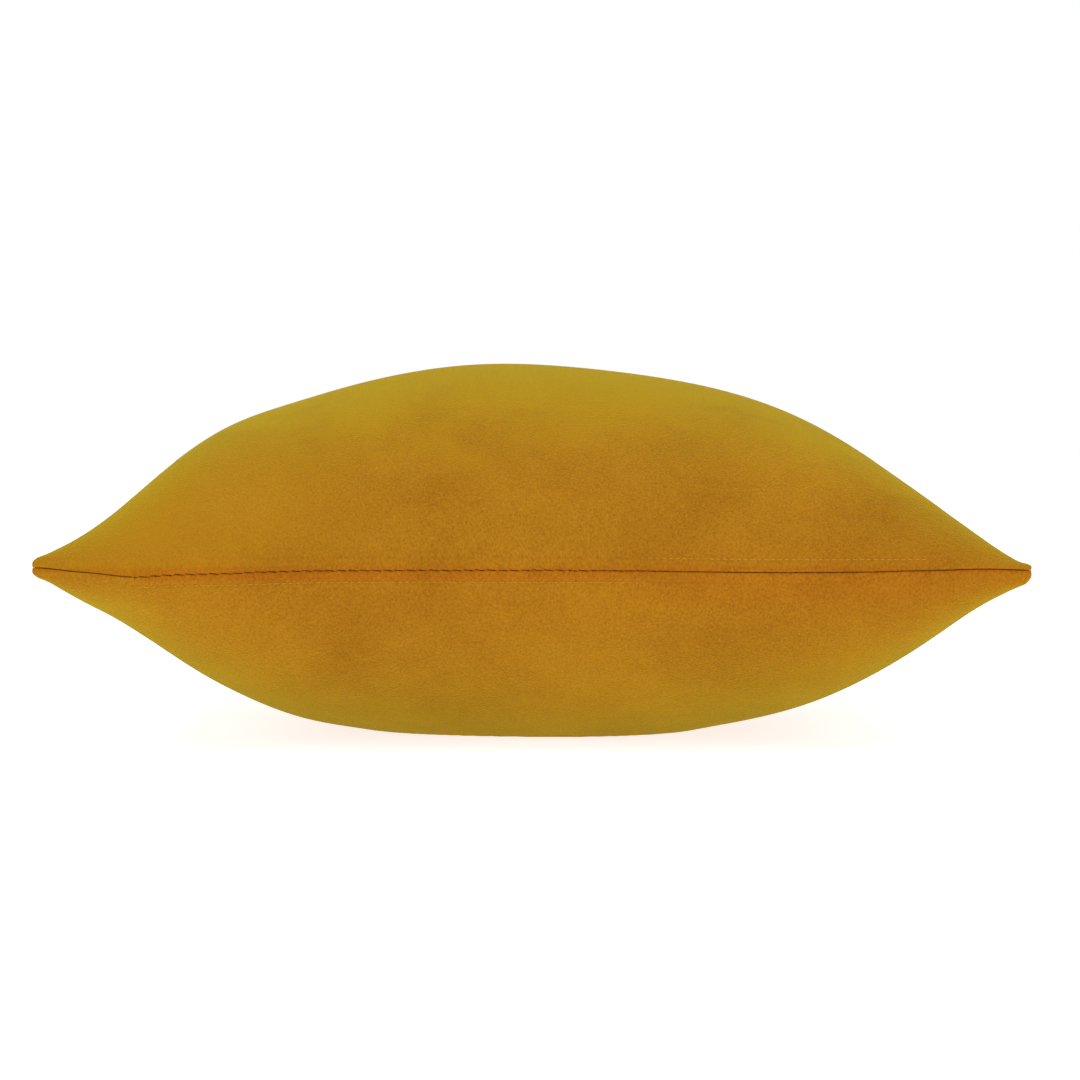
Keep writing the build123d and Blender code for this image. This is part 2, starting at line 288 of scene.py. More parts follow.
knife_tip = tip_reach(knife)
tip_half = tip_reach(0.0)


def filled_point(s, t, grow=1.0):
    """Where a point of the flat cloth lies on the dome. s and t run from -1 to 1."""
    u, v = plan_share(s), plan_share(t)
    height = crown * grow * rise(u, v)
    if max(abs(s), abs(t)) > outermost:
        height = rim_height
    return Vector(
        (u * edge_reach(v * knife_tip, knife), v * edge_reach(u * knife_tip, knife), seam + height)
    )


print("crown above the seam", round(crown, 4))

# %% [markdown]
# ## Filling the cover by cloth simulation
#
# Real cloth can't stretch much, so a filled pillow strains a little where its edges are drawn in.
# Rather than guess at that by hand, we let the Cloth modifier find it. The mesh is the dome, and a
# shape key holds the flat cut, which the cloth takes as its unstretched size. The seam row is
# pinned, because the sewn edge is held by its seam, and pressure stands for the filling. Then the
# shape is read out as plain points, so no simulation is left on the finished piece. The dome is a
# close start: the cell prints how little the cloth moves it.

# %% The simulation
cells = 96
cut_half = 227 * mm  # half the width of the flat cloth between its seams
slack_start = 0.97  # the simulation starts from a slightly lower dome


def panel_grid():
    """A panel's grid, whose points are at their shares of its half width and half length."""
    bm = bmesh.new()
    bmesh.ops.create_grid(bm, x_segments=cells, y_segments=cells, size=1)
    return bm


def ease(share):
    """Turns an even change from 0 to 1 into one that starts and ends gently."""
    return share * share * (3 - 2 * share)


def share_key(s, t):
    """Shares rounded, so that a point can be looked up by them."""
    return round(s, 4), round(t, 4)


def puffed_points(frames=36):
    """The panel's points after the cloth is blown up between its pinned edges."""
    bm = panel_grid()
    shares = [(v.co.x, v.co.y) for v in bm.verts]
    mesh = bpy.data.meshes.new("puff")
    bm.to_mesh(mesh)
    bm.free()
    for vertex, (s, t) in zip(mesh.vertices, shares):
        vertex.co = filled_point(s, t, slack_start)
    puff = bpy.data.objects.new("puff", mesh)
    bpy.context.scene.collection.objects.link(puff)
    puff.shape_key_add(name="filled")
    cut = puff.shape_key_add(name="cut")
    for point, (s, t) in zip(cut.data, shares):
        point.co = (s * cut_half, t * cut_half, seam)
    held = puff.vertex_groups.new(name="sewn_edge")
    edge = [i for i, (s, t) in enumerate(shares) if max(abs(s), abs(t)) > outermost]
    held.add(edge, 1.0, "REPLACE")
    cloth = puff.modifiers.new("filling", "CLOTH")
    for setting, value in {
        "rest_shape_key": cut,
        "vertex_group_mass": "sewn_edge",
        "quality": 6,
        "mass": 0.1,
        "air_damping": 1,
        "tension_stiffness": 30,
        "compression_stiffness": 30,
        "shear_stiffness": 8,
        "bending_stiffness": 1.2,
        "use_pressure": True,
        "uniform_pressure_force": 60,
    }.items():
        setattr(cloth.settings, setting, value)
    cloth.settings.effector_weights.gravity = 0
    cloth.point_cache.frame_start = 1
    cloth.point_cache.frame_end = frames
    for number in range(1, frames + 1):
        bpy.context.scene.frame_set(number)
    solved = puff.evaluated_get(bpy.context.evaluated_depsgraph_get())
    places = [v.co.copy() for v in solved.data.vertices]
    bpy.context.scene.frame_set(1)
    bpy.data.objects.remove(puff)
    return {share_key(*at): place for at, place in zip(shares, places)}


puffed = puffed_points()
tallest = max(p.z for p in puffed.values()) - seam
moves = [math.dist(p, filled_point(s, t, slack_start)) / mm for (s, t), p in puffed.items()]
print("simulated crown", round(tallest, 4))
print("mm moved, mean and most:", round(sum(moves) / len(moves), 2), round(max(moves), 2))


def cloth_point(s, t):
    """A point of the filled cloth. The rows beside the zip stay on the dome, pressed flat."""
    smooth = filled_point(s, t)
    found = puffed.get(share_key(s, t))
    if found is None:
        return smooth
    grown = Vector((found.x, found.y, seam + (found.z - seam) * crown / tallest))
    rows_in, first_free, fade_rows = (1 + t) * cells / 2, 1.5, 6
    beside_zip = abs(s) < 0.9
    free = min(1.0, max(0.0, (rows_in - first_free) / fade_rows)) if beside_zip else 1.0
    return smooth.lerp(grown, ease(free))


# %% [markdown]
# ## How this pillow lies
#
# No filled pillow is even. The filling of this one has settled a little: the top is fuller to the
# left, the underside is fuller to the right, the tips are pressed thin, and the slit droops between
# its ends, most where the zip's left end is tacked. A simulation wouldn't settle in the same way,
# so these are listed one by one. Each is a small smooth move of the points, up or down. They are
# written as one function that every soft piece goes through, so neighbouring pieces still meet.


# %% The settling
def bell(x, middle, width):
    """A smooth hump of height 1."""
    return math.exp(-(((x - middle) / width) ** 2))


def gate(x, edge, width):
    """1 well below an edge and 0 well above it, with a soft change between."""
    return 1 / (1 + math.exp((x - edge) / width))


def humps(x, *shapes):
    """The sum of some humps along the front, each as (height, middle, width) millimetres."""
    return sum(tall * mm * bell(x, middle * mm, width * mm) for tall, middle, width in shapes)


fullness = {  # how far the filling lifts the cloth at full height, above and below the seam
    1: [(3.6, -25, 60), (4.6, -150, 28), (-1.2, 175, 26)],
    -1: [(4.6, -181, 24), (-2.6, 140, 40), (-1.7, 18, 45), (-1.8, -110, 28)],
}


def settle(p, side):
    """Moves a point of the cover as the filling has settled. side is 1 above the seam."""
    height = abs(p.z - seam)
    near_slit = math.exp(-((height / (30 * mm)) ** 2))
    front = gate(p.y, -120 * mm, 12 * mm)
    tip = math.dist((abs(p.x), abs(p.y)), (tip_half, tip_half))
    thin = -0.24 * max(0.0, height - 4 * mm) * bell(tip, 0, 45 * mm)
    blunt = 0.5 * height * bell(tip, 0, 9 * mm) * bell(height, 0, 5 * mm)
    lift = humps(p.x, *fullness[side]) - (3.6 * mm if side > 0 else 0)
    dip = humps(p.x, (-2.4, -176, 16), (-0.8, 110, 60))
    droop = humps(p.x, (1.9, -146, 30), (0.5, -200, 12))
    droop += 0.85 * mm * gate(abs(p.x - 15 * mm), 140 * mm, 12 * mm)
    dip -= droop * (bell(height, 0, 3.5 * mm) if side > 0 else 1)
    tips = humps(p.x, (1.4, -218, 14)) + humps(p.x, (0.7, 200, 18)) * front
    tips -= humps(p.x, (2.0, 214, 18)) * (1 - bell(height, 0, 3 * mm))
    risen = lift * ease(min(1.0, height / (30 * mm))) + dip * front * near_slit + tips
    return Vector((p.x, p.y, p.z + side * (thin + blunt) + risen))


def rest_flat(z, soft=3 * mm):
    """Presses the underside flat where it lies, with a soft turn up to the free cloth."""
    pressed_flat = soft * math.log1p(math.exp(min(60, z / soft)))
    return pressed_flat - soft * math.log(2) * math.exp(-(abs(z) / soft))


# %% [markdown]
# ## The velvet panels
#
# A panel is the simulated sheet, with its edge rolled over and turned in: that roll, against the
# roll of the other panel, is what draws the seam as one dark line. We extrude the boundary loop
# ring by ring, as one would fold a hem. Then the sheet is subdivided once, the mouth for the zip
# is cut with bisecting planes, and the Solidify modifier gives it the cloth's thickness.


# %% Panel tools
# Where the rolled edge goes, as (in from the rim, above the seam) in millimetres.
rim_rings = [(-0.28, 1.0), (-0.18, 0.45), (0.05, 0.12), (1.2, 0.05), (4.0, 0.05)]
rim_start = 0.3 * mm  # the panel's last row lies this far outside the rim
half_corner = math.asin(half_tips / radius)
mitre = 1 / math.sin(math.pi / 4 - half_corner)
tip_round = 5 * mm
velvet_thickness = 1.3 * mm
front_strip = -170 * mm  # y below this is the strip with the zip in it
floor_gap = 0.2 * mm


def to_object(bm, name):
    """A finished bmesh as an object at the origin."""
    mesh = bpy.data.meshes.new(name)
    bm.to_mesh(mesh)
    bm.free()
    piece = bpy.data.objects.new(name, mesh)
    bpy.context.scene.collection.objects.link(piece)
    mesh.shade_smooth()
    return piece


def apply_modifiers(piece):
    """Replaces a piece's mesh by what its modifiers make of it."""
    depsgraph = bpy.context.evaluated_depsgraph_get()
    made = bpy.data.meshes.new_from_object(piece.evaluated_get(depsgraph))
    piece.modifiers.clear()
    old = piece.data
    piece.data = made
    made.name = piece.name
    bpy.data.meshes.remove(old)


def outward(p):
    """The level direction out of the outline at a point of its edge."""
    if abs(abs(p.x) - abs(p.y)) < 2 * mm:
        return Vector((p.x, p.y, 0)).normalized()
    if abs(p.y) > abs(p.x):
        return Vector((-p.x, math.copysign(-arc_y, p.y) - p.y, 0)).normalized()
    return Vector((math.copysign(-arc_y, p.x) - p.x, -p.y, 0)).normalized()


def round_tip(p):
    """Draws a point in where it lies outside a tip's rounded corner."""
    out = (abs(p.x) + abs(p.y)) / math.sqrt(2)
    limit = tip_half * math.sqrt(2) - tip_round
    if out < limit:
        return p
    spare = (out - limit) / tip_round
    move = tip_round * (spare - math.tanh(spare * 0.9) * 0.9) / math.sqrt(2)
    return Vector((p.x - math.copysign(move, p.x), p.y - math.copysign(move, p.y), p.z))


def roll_edge(bm, rings):
    """Extrudes the boundary loop through rings of (inset, height) millimetres, above the seam."""
    loop = [e for e in bm.edges if e.is_boundary]
    start = {v: (v.co.copy(), outward(v.co)) for e in loop for v in e.verts}
    for inset, height in rings:
        made = bmesh.ops.extrude_edge_only(bm, edges=loop)["geom"]
        fresh = {g for g in made if isinstance(g, bmesh.types.BMVert)}
        follow = {}
        for vertex in fresh:
            others = (e.other_vert(vertex) for e in vertex.link_edges)
            old = next(v for v in others if v in start)
            base, out = start[old]
            tip = math.dist((abs(base.x), abs(base.y)), (tip_half, tip_half))
            drawn = min(inset * mm + rim_start, 0.45 * tip + 0.08 * mm)
            vertex.co = base - out * drawn * (mitre if tip < 1.5 * mm else 1)
            vertex.co.z = seam + height * mm
            follow[vertex] = start[old]
        start = follow
        loop = [g for g in made if isinstance(g, bmesh.types.BMEdge) and g.is_boundary]


def panel_sheet(side):
    """A panel above the seam, as a thin sheet with its turned edge. The lower one is flipped."""
    bm = panel_grid()
    for vertex in bm.verts:
        s, t = vertex.co.x, vertex.co.y
        vertex.co = cloth_point(s, t) if side > 0 else cloth_point(-s, t)
        if side < 0:
            vertex.co.x = -vertex.co.x
    roll_edge(bm, rim_rings)
    bmesh.ops.recalc_face_normals(bm, faces=bm.faces)
    return bm


def cut_across(bm, half_length, place, across):
    """Cuts the faces of the front strip along a plane, up to a distance from the zip's middle."""
    faces = []
    for face in bm.faces:
        middle = face.calc_center_median()
        if middle.y < front_strip and abs(middle.x) < half_length:
            faces.append(face)
    edges = list({e for f in faces for e in f.edges})
    verts = list({v for f in faces for v in f.verts})
    bmesh.ops.bisect_plane(
        bm, geom=faces + edges + verts, plane_co=place, plane_no=across, dist=1e-6
    )


def cut_mouth(bm):
    """Cuts the opening for a lip: the cloth below the stitches, between the zip's ends."""
    for end in (-1, 1):
        here = on_front(end * zip_half, 0, 0)
        along = Vector((0, 0, 1)).cross(here - Vector((0, arc_y, seam)))
        cut_across(bm, half_tips, here, along)
    for height in (stitch_height, stitch_height + 1.2 * mm):
        cut_across(bm, zip_half + 0.2 * mm, (0, 0, seam + height), (0, 0, 1))
    gone = []
    for face in bm.faces:
        x, y, z = face.calc_center_median()
        if y < front_strip and z < seam + stitch_height and abs(x) < zip_half:
            if math.hypot(x, y - arc_y) < radius + 9 * mm:
                gone.append(face)
    bmesh.ops.delete(bm, geom=gone, context="FACES")


def pressed_in(along, side):
    """How visibly the stitches sink the pile: the lower row to the left, the upper to the right."""
    turn = gate(along, 45 * mm, 9 * mm)
    return turn if side < 0 else 0.55 * (1 - turn)


def velvet_panel(side, name):
    """One panel of the cover."""
    sheet = to_object(panel_sheet(side), name)
    smoother = sheet.modifiers.new("smoother", "SUBSURF")
    smoother.levels = smoother.render_levels = 1
    apply_modifiers(sheet)
    bm = bmesh.new()
    bm.from_mesh(sheet.data)
    cut_mouth(bm)
    for vertex in bm.verts:
        p = vertex.co
        at_stitches = abs(p.z - seam - stitch_height) < 0.05 * mm and p.y < front_strip
        if at_stitches and abs(p.x) < zip_half:
            p.y += (0.03 + 0.35 * pressed_in(p.x, side)) * mm
        if side < 0:
            p.z = 2 * seam - p.z
        moved = settle(round_tip(p), side)
        if side < 0:
            moved.z = rest_flat(moved.z - floor_gap) + floor_gap
        vertex.co = moved
    if side < 0:
        bmesh.ops.reverse_faces(bm, faces=bm.faces)
    bm.to_mesh(sheet.data)
    bm.free()
    wall = sheet.modifiers.new("cloth", "SOLIDIFY")
    wall.thickness = velvet_thickness
    wall.offset = -1
    wall.use_rim = True
    apply_modifiers(sheet)
    sheet.data.shade_smooth()
    sheet.data.set_sharp_from_angle(angle=math.radians(55))
    print(name, "triangles", sum(len(p.vertices) - 2 for p in sheet.data.polygons))
    return sheet


# %% Both panels
top_panel = velvet_panel(1, "velvet_top_panel")
bottom_panel = velvet_panel(-1, "velvet_bottom_panel")

# %% [markdown]
# ## The zip's lips
#
# Beside the zip each panel is folded back on itself and stitched down, and the fold hides the
# coil. A fold of even section along a curved edge is what the spin operator is for: we draw the
# section once and spin it about the arc's centre. After that the fold is made human: small dents
# where the needle has caught it, and an edge that isn't quite straight.


# %% Lips
# The fold's section as (in from the rim, above the seam) in millimetres, from its skirt behind the
# panel, over the front, to the slit and back.
lip_section = [
    (5.6, 12.0),
    (3.3, 8.2),
    (1.75, 6.1),
    (1.25, 5.25),
    (1.12, 4.9),
    (0.85, 4.3),
    (0.45, 3.4),
    (0.0, 2.5),
    (-0.25, 1.8),
    (-0.3, 1.2),
    (-0.16, 0.6),
    (0.02, 0.26),
    (0.5, 0.09),
    (1.7, 0.08),
    (2.3, 0.4),
    (2.4, 2.2),
    (3.7, 5.15),
    (4.8, 8.2),
    (6.7, 12.0),
]


def spun_along_front(bm, edges, start, end, steps):
    """Spins edges of the section through the zip's middle from one place along it to another."""
    first, last = math.asin(start / radius), math.asin(end / radius)
    verts = list({v for e in edges for v in e.verts})
    centre = Vector((0, arc_y, seam))
    bmesh.ops.rotate(bm, verts=verts, cent=centre, matrix=Matrix.Rotation(-first, 3, "Z"))
    made = bmesh.ops.spin(
        bm,
        geom=verts + edges,
        cent=centre,
        axis=(0, 0, -1),
        dvec=(0, 0, 0),
        angle=last - first,
        steps=steps,
        use_merge=False,
        use_duplicate=False,
    )
    return [e for e in made["geom_last"] if isinstance(e, bmesh.types.BMEdge)]


def section_loop(bm, section, side):
    """A closed loop of (inset, height) millimetres in the section through the middle of the zip."""
    verts = [bm.verts.new(on_front(0, s * mm, side * h * mm)) for s, h in section]
    return [bm.edges.new((a, b)) for a, b in zip(verts, verts[1:] + verts[:1])]


def sweep(bm, section, side, start, end, steps):
    """Sweeps a closed section along the front edge between two places, and closes its ends."""
    first = section_loop(bm, section, side)
    last = spun_along_front(bm, first, start, end, steps)
    for loop in (first, last):
        bmesh.ops.holes_fill(bm, edges=loop)


caught_every = 5.1 * mm


def zip_lip(side, name):
    """A panel's folded edge beside the zip."""
    bm = bmesh.new()
    sweep(bm, lip_section, side, -zip_half, zip_half, 640)
    for vertex in bm.verts:
        p = vertex.co
        height = abs(p.z - seam) / mm
        along = p.x
        caught = pressed_in(along, -1)
        part = (along / caught_every) % 1
        needle = math.cos(math.pi * along / caught_every) ** 16
        step = (0.5 - part) * 0.55 * caught * bell(height, 0.3, 1.6)
        pinch = side * -0.22 * needle * caught * bell(height, 0.3, 0.7)
        dent = 0.28 * needle * (caught if side < 0 else 0.4 * caught) * bell(height, 1.3, 1.0)
        wander = 0.16 * noise.noise(Vector((along * 70, 0, 0))) * bell(height, 0.3, 2.0)
        wander += 0.22 * noise.noise(Vector((along * 800, side * 5, 0))) * bell(height, 0.3, 0.8)
        ripple = 0.14 * noise.noise(Vector((along * 220, 3 * side, height / 3)))
        sink = 0.35 * pressed_in(along, side) * bell(height, stitch_height / mm, 0.45)
        p.y += (dent + ripple * (height < 4.6) + sink) * mm
        p.z += (step + pinch + wander) * mm
        vertex.co = settle(p, side)
    bmesh.ops.recalc_face_normals(bm, faces=bm.faces)
    lip = to_object(bm, name)
    lip.data.set_sharp_from_angle(angle=math.radians(60))
    return lip


upper_lip = zip_lip(1, "velvet_lip_upper")
lower_lip = zip_lip(-1, "velvet_lip_lower")
print("lips made")

# %% [markdown]
# ## The zip: tapes, coils and cords
#
# Behind the lips lies an ordinary dressmaker's zip. Each tape is a narrow woven strip, flat beside
# the coil and folded forward to its row of stitches. Each coil is one nylon thread wound round a
# filler cord. The spin operator makes all of these: with no step along its axis it sweeps a section
# round the arc, and with a step it winds a helix. The helix is wound along a straight line, and its
# points are then laid on the arc, which is simpler than winding it there.


# %% Tapes and cords
def swept(section, side, name, start, end, steps):
    """A swept piece of the zip, settled with the cover."""
    bm = bmesh.new()
    sweep(bm, section, side, start, end, steps)
    for vertex in bm.verts:
        vertex.co = settle(vertex.co, side)
    bmesh.ops.recalc_face_normals(bm, faces=bm.faces)
    return to_object(bm, name)


# The tape's section, in the same way: flat behind the coil, then forward to its row of stitches.
tape_section = [
    (7.12, 0.6),
    (7.12, 3.5),
    (4.35, 4.85),
    (4.3, 5.15),
    (8.35, 10.7),
    (8.65, 10.5),
    (4.85, 5.15),
    (7.5, 3.75),
    (7.5, 0.6),
]
coil_inset, coil_height = 6.35, 1.075  # the middle of a coil half, in millimetres
cord_section = [
    (
        coil_inset + 0.23 * math.cos(a * math.pi / 4),
        coil_height + 0.3 * math.sin(a * math.pi / 4),
    )
    for a in range(8)
]
coil_start, coil_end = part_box("zip_coil_upper")[0].x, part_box("zip_coil_upper")[1].x
tape_half = 185 * mm
halves = ((1, "upper"), (-1, "lower"))
tapes = [
    swept(tape_section, side, "woven_tape_" + word, -tape_half, tape_half, 180)
    for side, word in halves
]
cords = [
    swept(cord_section, side, "filler_cord_" + word, coil_start, coil_end, 240)
    for side, word in halves
]
print("coil runs from", round(coil_start, 4), "to", round(coil_end, 4))


# %% Coils
def coil(side, name, doublings=8, steps=12):
    """Half of the zip's coil, round its cord: one turn, doubled until it fills the length."""
    end_gap = 0.3 * mm
    pitch = (coil_end - coil_start - 2 * end_gap) / 2**doublings
    bm = bmesh.new()
    ring = bmesh.ops.create_circle(bm, segments=6, radius=0.26 * mm)["verts"]
    across = Matrix.Translation((0, 0.49 * mm, 0)) @ Matrix.Rotation(math.radians(90), 4, "Y")
    bmesh.ops.transform(bm, verts=ring, matrix=across)
    bmesh.ops.spin(
        bm,
        geom=ring + bm.edges[:],
        cent=(0, 0, 0),
        axis=(1, 0, 0),
        dvec=(pitch / steps, 0, 0),
        angle=2 * math.pi,
        steps=steps,
        use_merge=False,
        use_duplicate=False,
    )
    for i in range(doublings):
        copy = bmesh.ops.duplicate(bm, geom=bm.verts[:] + bm.edges[:] + bm.faces[:])["geom"]
        verts = [g for g in copy if isinstance(g, bmesh.types.BMVert)]
        bmesh.ops.translate(bm, verts=verts, vec=(pitch * 2**i, 0, 0))
    bmesh.ops.remove_doubles(bm, verts=bm.verts, dist=0.01 * mm)
    bmesh.ops.holes_fill(bm, edges=[e for e in bm.edges if e.is_boundary])
    for vertex in bm.verts:
        x, y, z = vertex.co
        level, height = coil_inset * mm + y, coil_height * mm + z * 1.3
        vertex.co = settle(on_front(coil_start + end_gap + x, level, side * height), side)
    bmesh.ops.recalc_face_normals(bm, faces=bm.faces)
    print(name, 2**doublings, "turns", round(pitch / mm, 2), "mm apart,", len(bm.faces), "faces")
    return to_object(bm, name)


coils = [coil(1, "nylon_coil_upper"), coil(-1, "nylon_coil_lower")]

# %% [markdown]
# ## Stitches
#
# A lockstitch shows as a row of short threads, each dipping into the cloth at both ends. One stitch
# is a small ball stretched along its thread and bent: two dozen faces, since there are hundreds of
# them. The rows that hold the tape sit about a presser foot's edge away from the opening. Pile
# closes over most of them, so how far each one is sunk changes along the zip.


# %% Stitches
def stitch(bm, start, end, inward, thick, dip):
    """One stitch of a thread from start to end, whose ends dip inward."""
    middle, half = (start + end) / 2, (end - start) / 2
    side_way = half.cross(inward).normalized() * thick / 2
    depth = inward.normalized() * thick / 2
    stretch = Matrix(
        (
            (side_way.x, depth.x, half.x, middle.x),
            (side_way.y, depth.y, half.y, middle.y),
            (side_way.z, depth.z, half.z, middle.z),
            (0, 0, 0, 1),
        )
    )
    made = bmesh.ops.create_uvsphere(bm, u_segments=6, v_segments=5, radius=1, matrix=stretch)
    for vertex in made["verts"]:
        share = (vertex.co - middle).dot(half) / half.length_squared
        vertex.co += inward.normalized() * dip * share * share


def stitch_row(side, name, pitch=3.0 * mm):
    """The row that holds one tape, just proud where the cloth is pressed, and sunk elsewhere."""
    bm = bmesh.new()
    count = int(2 * (zip_half - 0.5 * mm) / pitch)
    half_stitch = 1.2 * mm
    for i in range(count):
        along = (i + 0.5 - count / 2) * pitch
        caught = pressed_in(along, side)
        shown = min(1, (1.3 if side < 0 else 1.6) * caught)
        level = (1.1 + 0.12 * caught + 0.65 - 0.62 * shown) * mm
        sway = 0.12 * mm * noise.noise(Vector((along * 400, side, 0)))
        ends = [
            settle(on_front(along + step * half_stitch, level, side * stitch_height + sway), side)
            for step in (-1, 1)
        ]
        stitch(bm, *ends, Vector((0, 1, 0)), 0.5 * mm, 0.35 * mm)
    bmesh.ops.recalc_face_normals(bm, faces=bm.faces)
    print(name, count, "stitches")
    return to_object(bm, name)


rows = [stitch_row(1, "tape_stitches_upper"), stitch_row(-1, "tape_stitches_lower")]


def bar_tack(end, name):
    """A tight zigzag across the slit, which closes one end of the zip's opening."""
    bm = bmesh.new()
    low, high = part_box("zip_bar_tack_left" if end < 0 else "zip_bar_tack_right")
    count = 12
    tall = (high.z - low.z) / count
    for i in range(count):
        height = low.z + (i + 0.5) * tall - seam
        slant = tall * 0.4 * (1 if i % 2 else -1)
        level = (0.28 + 0.018 * (height / mm) ** 2) * mm
        ends = [
            settle(on_front(x, level, height + tilt), 1 if height > 0 else -1)
            for x, tilt in ((low.x + 0.1 * mm, -slant), (high.x - 0.1 * mm, slant))
        ]
        stitch(bm, *ends, Vector((0, 1, 0)), 0.42 * mm, 0.3 * mm)
    bmesh.ops.recalc_face_normals(bm, faces=bm.faces)
    return to_object(bm, name)


tacks = [bar_tack(-1, "zigzag_tack_left"), bar_tack(1, "zigzag_tack_right")]

# %% [markdown]
# ## The inner pad
#
# The pad is a bag of thin non-woven cloth, full of hollow-fibre polyester. It is what gives the
# cover its shape, so it is made from the cover's own simulated shape: each of its points is the
# cover's point, drawn in by the velvet's thickness and a little slack. Its edge stops short of the
# seam allowance, where there is no room for it.

# %% Pad shapes
pad_rim = 10.4 * mm
pad_depth, filling_depth = 2.6 * mm, 4.0 * mm  # below the outside of the cover


def inner_point(s, t, depth, rim):
    """A point of a sheet inside the cover, at a depth below the panel and with its rim drawn in."""
    outer = cloth_point(s, t)
    shrink = (tip_half - rim * 1.35) / tip_half
    cover_rise = max(0.0, outer.z - seam)
    side_share = max(abs(s), abs(t))
    fall = depth + 1.5 * mm * side_share**3
    level = max(0.0, cover_rise * (1 - 0.035 * side_share**4) - fall)
    if side_share > outermost:
        level = 0.0
    return Vector((outer.x * shrink, outer.y * shrink, seam + level))


def inner_sheet(side, name, depth, rim, thickness):
    """Half of the pad's bag, or of its filling, as a sheet whose rim lies at the seam level."""
    bm = bmesh.new()
    bmesh.ops.create_grid(bm, x_segments=48, y_segments=48, size=1)
    resting = 2.2 * mm  # the underside lies on the lower panel
    for vertex in bm.verts:
        p = inner_point(vertex.co.x, vertex.co.y, depth, rim)
        p.z += 0.5 * mm * min(1, (p.z - seam) / (20 * mm)) * noise.noise(p * 30)
        if side < 0:
            p.z = 2 * seam - p.z
        p = settle(p, side)
        if side < 0:
            p.z = rest_flat(p.z - resting) + resting
        vertex.co = p
    if side < 0:
        bmesh.ops.reverse_faces(bm, faces=bm.faces)
    sheet = to_object(bm, name)
    if thickness:
        wall = sheet.modifiers.new("cloth", "SOLIDIFY")
        wall.thickness, wall.offset, wall.use_rim = thickness, -1, True
        apply_modifiers(sheet)
        sheet.data.shade_smooth()
    return sheet


case_top = inner_sheet(1, "pad_case_upper_half", pad_depth, pad_rim, 0.45 * mm)
case_bottom = inner_sheet(-1, "pad_case_lower_half", pad_depth, pad_rim, 0.45 * mm)


# %% Filling
def filling_lump():
    """The filling: both halves of its shape, merged at the rim."""
    bm = bmesh.new()
    for side in (1, -1):
        half = inner_sheet(side, "half", filling_depth, pad_rim + 2 * mm, 0)
        bm.from_mesh(half.data)
        bpy.data.meshes.remove(half.data)
    bmesh.ops.remove_doubles(bm, verts=bm.verts, dist=0.05 * mm)
    for vertex in bm.verts:
        if abs(vertex.co.z - seam) > 2 * mm:
            lump = noise.noise(vertex.co * 45) * 0.6 + noise.noise(vertex.co * 160) * 0.3
            vertex.co += vertex.normal * (lump - 0.9) * mm
    bmesh.ops.recalc_face_normals(bm, faces=bm.faces)
    open_edges = sum(e.is_boundary for e in bm.edges)
    print("filling open edges:", open_edges)
    return to_object(bm, "fibre_filling")


filling = filling_lump()

# %% [markdown]
# ## Velvet
#
# The cover is cut polyester velvet: a dense pile about a millimetre long, standing on a knitted
# ground. Seen straight on, the eye looks down into the pile, and the colour is deep. Seen at a
# slant, light catches the sides of the fibres, and the colour turns pale and yellow. That is what
# the sheen layer of the Principled shader is for. Handling leaves soft patches where the pile lies
# another way, and close up the pile has a fine grain. All patterns are noise on Object coordinates,
# so they need no UV map. Two attributes, worked out for each vertex, say where stitching presses
# the pile and where painted sheen lightens it: a paler, yellower colour painted on the crown, at
# the left end and at the right tip, which stands in for light caught at a slant.


# %% Velvet
def mark(piece, name, share):
    """Stores a value from 0 to 1 at each point, as an attribute that a material can read."""
    layer = piece.data.attributes.new(name, "FLOAT", "POINT")
    for vertex, item in zip(piece.data.vertices, layer.data):
        item.value = max(0.0, min(1.0, share(vertex.co)))


def band(side):
    """How oranger the velvet is near the slit, on one side of it."""

    def share(p):
        if p.y > -150 * mm:
            return 0.0
        height = side * (p.z - seam) / mm
        left = pressed_in(p.x, -1) * gate(-p.x, 172 * mm, 3 * mm)
        right = 1 - pressed_in(p.x, -1)
        near = bell(max(0.0, abs(height) - 4.4), 0, 1.2)
        wide = bell(abs(height), 0, 17) * right
        inside = bell(max(0.0, height), 0, 0.9)
        if side > 0:
            return 0.1 * near * left + 0.12 * wide + 0.5 * inside
        return 0.6 * near * left + 0.4 * wide + 0.5 * inside

    return share


# Painted sheen: a paler, yellower pile colour on the crown, at the left end and at the right tip,
# standing in for light caught at a slant.
def painted_sheen(p):
    """How much painted sheen lightens the pile: a painted highlight, most on the crown, and at the
    left end.
    """
    under = 0.2 if p.z < seam - 2 * mm else 1.0
    height = abs(p.z - seam)
    left = gate(p.x, -125 * mm, 22 * mm) * (0.55 + 0.45 * bell(height, 30 * mm, 30 * mm))
    right = bell(p.x, 214 * mm, 26 * mm)
    above = (p.z - seam) / mm + 22 * noise.noise(p * 28) + 9 * noise.noise(p * 90)
    return under * 0.75 * left + 0.4 * right + 0.75 * gate(-above, -62, 4.5)


# Each velvet piece stores where stitching presses its pile, and where painted sheen lightens it.
for piece, side in ((top_panel, 1), (upper_lip, 1), (bottom_panel, -1), (lower_lip, -1)):
    mark(piece, "pressed", band(side))
    mark(piece, "painted_sheen", painted_sheen)

# Down into the pile, and on its tips; the same where it's pressed; and the paler painted sheen.
deep_pile, worn_pile = "#8f570b", "#b27b17"
pressed_pile, pressed_tips, painted_sheen_pile = "#8c4a08", "#b8680e", "#a9780f"


